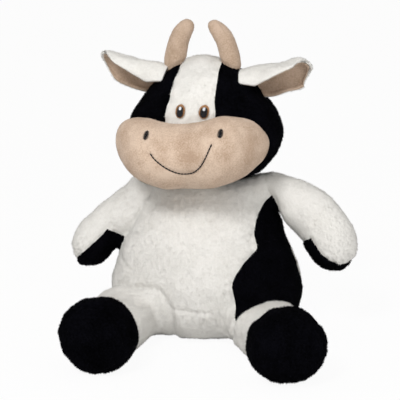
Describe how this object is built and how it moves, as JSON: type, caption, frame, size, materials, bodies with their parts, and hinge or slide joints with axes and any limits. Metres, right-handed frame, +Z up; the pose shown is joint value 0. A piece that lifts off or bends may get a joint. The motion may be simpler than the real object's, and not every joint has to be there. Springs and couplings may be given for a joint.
{
  "type": "plush cow",
  "caption": "Seated soft toy cow of pile fabric with a tan muzzle, horns and cupped ears, embroidered eyes, black feet, palms and flank patch, a tail and a zipped back",
  "frame": {"origin": "middle of the flat seat, on the floor", "axes": "+Z up; the cow faces -Y; its own left side is +X"},
  "size_m": [0.2972, 0.3548, 0.3086],
  "materials": {
    "white_plush": "short soft pile",
    "black_plush": "short soft pile",
    "tan_velour": "short velour",
    "stuffing": "polyester fibre",
    "pellet_bag": "plain woven",
    "black_thread": "satin stitch",
    "amber_thread": "satin stitch",
    "white_thread": "satin stitch",
    "zip_tape": "woven tape",
    "zip_plastic": "moulded"
  },
  "bodies": {
    "torso": {"torso_front": "white_plush", "flank_patch": "black_plush", "torso_back": "white_plush", "torso_pod": "stuffing", "pellet_bag": "pellet_bag", "zip_tape_left": "zip_tape", "zip_tape_right": "zip_tape", "zip_teeth": "zip_plastic"},
    "zip_slider": {"zip_slider": "zip_plastic"},
    "zip_pull": {"zip_pull": "zip_plastic"},
    "neck": {"neck_plug": "stuffing"},
    "head": {"head_blaze": "white_plush", "head_side_left": "black_plush", "head_side_right": "black_plush", "head_stuffing": "stuffing", "muzzle_cover": "tan_velour", "muzzle_stuffing": "stuffing", "nostril_left": "black_thread", "nostril_right": "black_thread", "smile_stitch": "black_thread", "left_eye_iris": "amber_thread", "left_eye_pupil": "black_thread", "left_eye_glint": "white_thread", "right_eye_iris": "amber_thread", "right_eye_pupil": "black_thread", "right_eye_glint": "white_thread", "horn_left": "tan_velour", "horn_right": "tan_velour"},
    "left_ear": {"left_ear_outer": "white_plush", "left_ear_lining": "tan_velour"},
    "right_ear": {"right_ear_outer": "white_plush", "right_ear_lining": "tan_velour"},
    "left_arm": {"left_arm_sleeve": "white_plush", "left_arm_palm": "black_plush", "left_arm_stuffing": "stuffing"},
    "right_arm": {"right_arm_sleeve": "white_plush", "right_arm_palm": "black_plush", "right_arm_stuffing": "stuffing"},
    "left_leg": {"left_leg_sleeve": "white_plush", "left_foot": "black_plush", "left_sole": "black_plush", "left_leg_stuffing": "stuffing"},
    "right_leg": {"right_leg_sleeve": "white_plush", "right_foot": "black_plush", "right_sole": "black_plush", "right_leg_stuffing": "stuffing"},
    "tail": {"tail_sleeve": "white_plush", "tail_tuft": "black_plush"}
  },
  "joints": [
    {"name": "neck_turn", "type": "hinge", "parent": "torso", "child": "neck", "pos_m": [0, -0.002, 0.15], "axis": [0, 0, 1], "range_deg": [-20, 20], "stiffness_Nm_per_rad": 4},
    {"name": "neck_nod", "type": "hinge", "parent": "neck", "child": "head", "pos_m": [0, -0.002, 0.15], "axis": [1, 0, 0], "range_deg": [-10, 6], "stiffness_Nm_per_rad": 6},
    {"name": "left_ear_flap", "type": "hinge", "parent": "head", "child": "left_ear", "pos_m": [0.0462, -0.01, 0.25326], "axis": [0, -1, 0], "range_deg": [-10, 18], "stiffness_Nm_per_rad": 0.3},
    {"name": "right_ear_flap", "type": "hinge", "parent": "head", "child": "right_ear", "pos_m": [-0.0462, -0.01, 0.25326], "axis": [0, 1, 0], "range_deg": [-10, 18], "stiffness_Nm_per_rad": 0.3},
    {"name": "left_arm_lift", "type": "hinge", "parent": "torso", "child": "left_arm", "pos_m": [0.06468, 0, 0.12844], "axis": [0, -1, 0], "range_deg": [0, 40], "stiffness_Nm_per_rad": 0.6},
    {"name": "right_arm_lift", "type": "hinge", "parent": "torso", "child": "right_arm", "pos_m": [-0.06468, 0, 0.12844], "axis": [0, 1, 0], "range_deg": [0, 40], "stiffness_Nm_per_rad": 0.6},
    {"name": "left_leg_lift", "type": "hinge", "parent": "torso", "child": "left_leg", "pos_m": [0.06272, -0.05084, 0.024], "axis": [-0.91, -0.4147, 0], "range_deg": [-20, 15], "stiffness_Nm_per_rad": 1.5},
    {"name": "right_leg_lift", "type": "hinge", "parent": "torso", "child": "right_leg", "pos_m": [-0.06272, -0.05084, 0.024], "axis": [-1, 0, 0], "range_deg": [-20, 15], "stiffness_Nm_per_rad": 1.5},
    {"name": "tail_swing", "type": "hinge", "parent": "torso", "child": "tail", "pos_m": [0, 0.08, 0.031], "axis": [0, 0, 1], "range_deg": [-35, 35], "stiffness_Nm_per_rad": 0.05},
    {"name": "zip_slide", "type": "slide", "parent": "torso", "child": "zip_slider", "axis": [0, 0.3312, -0.9436], "range_m": [0, 0.0524]},
    {"name": "zip_pull_flip", "type": "hinge", "parent": "zip_slider", "child": "zip_pull", "pos_m": [0, 0.05902, 0.11463], "axis": [1, 0, 0], "range_deg": [0, 90]}
  ]
}
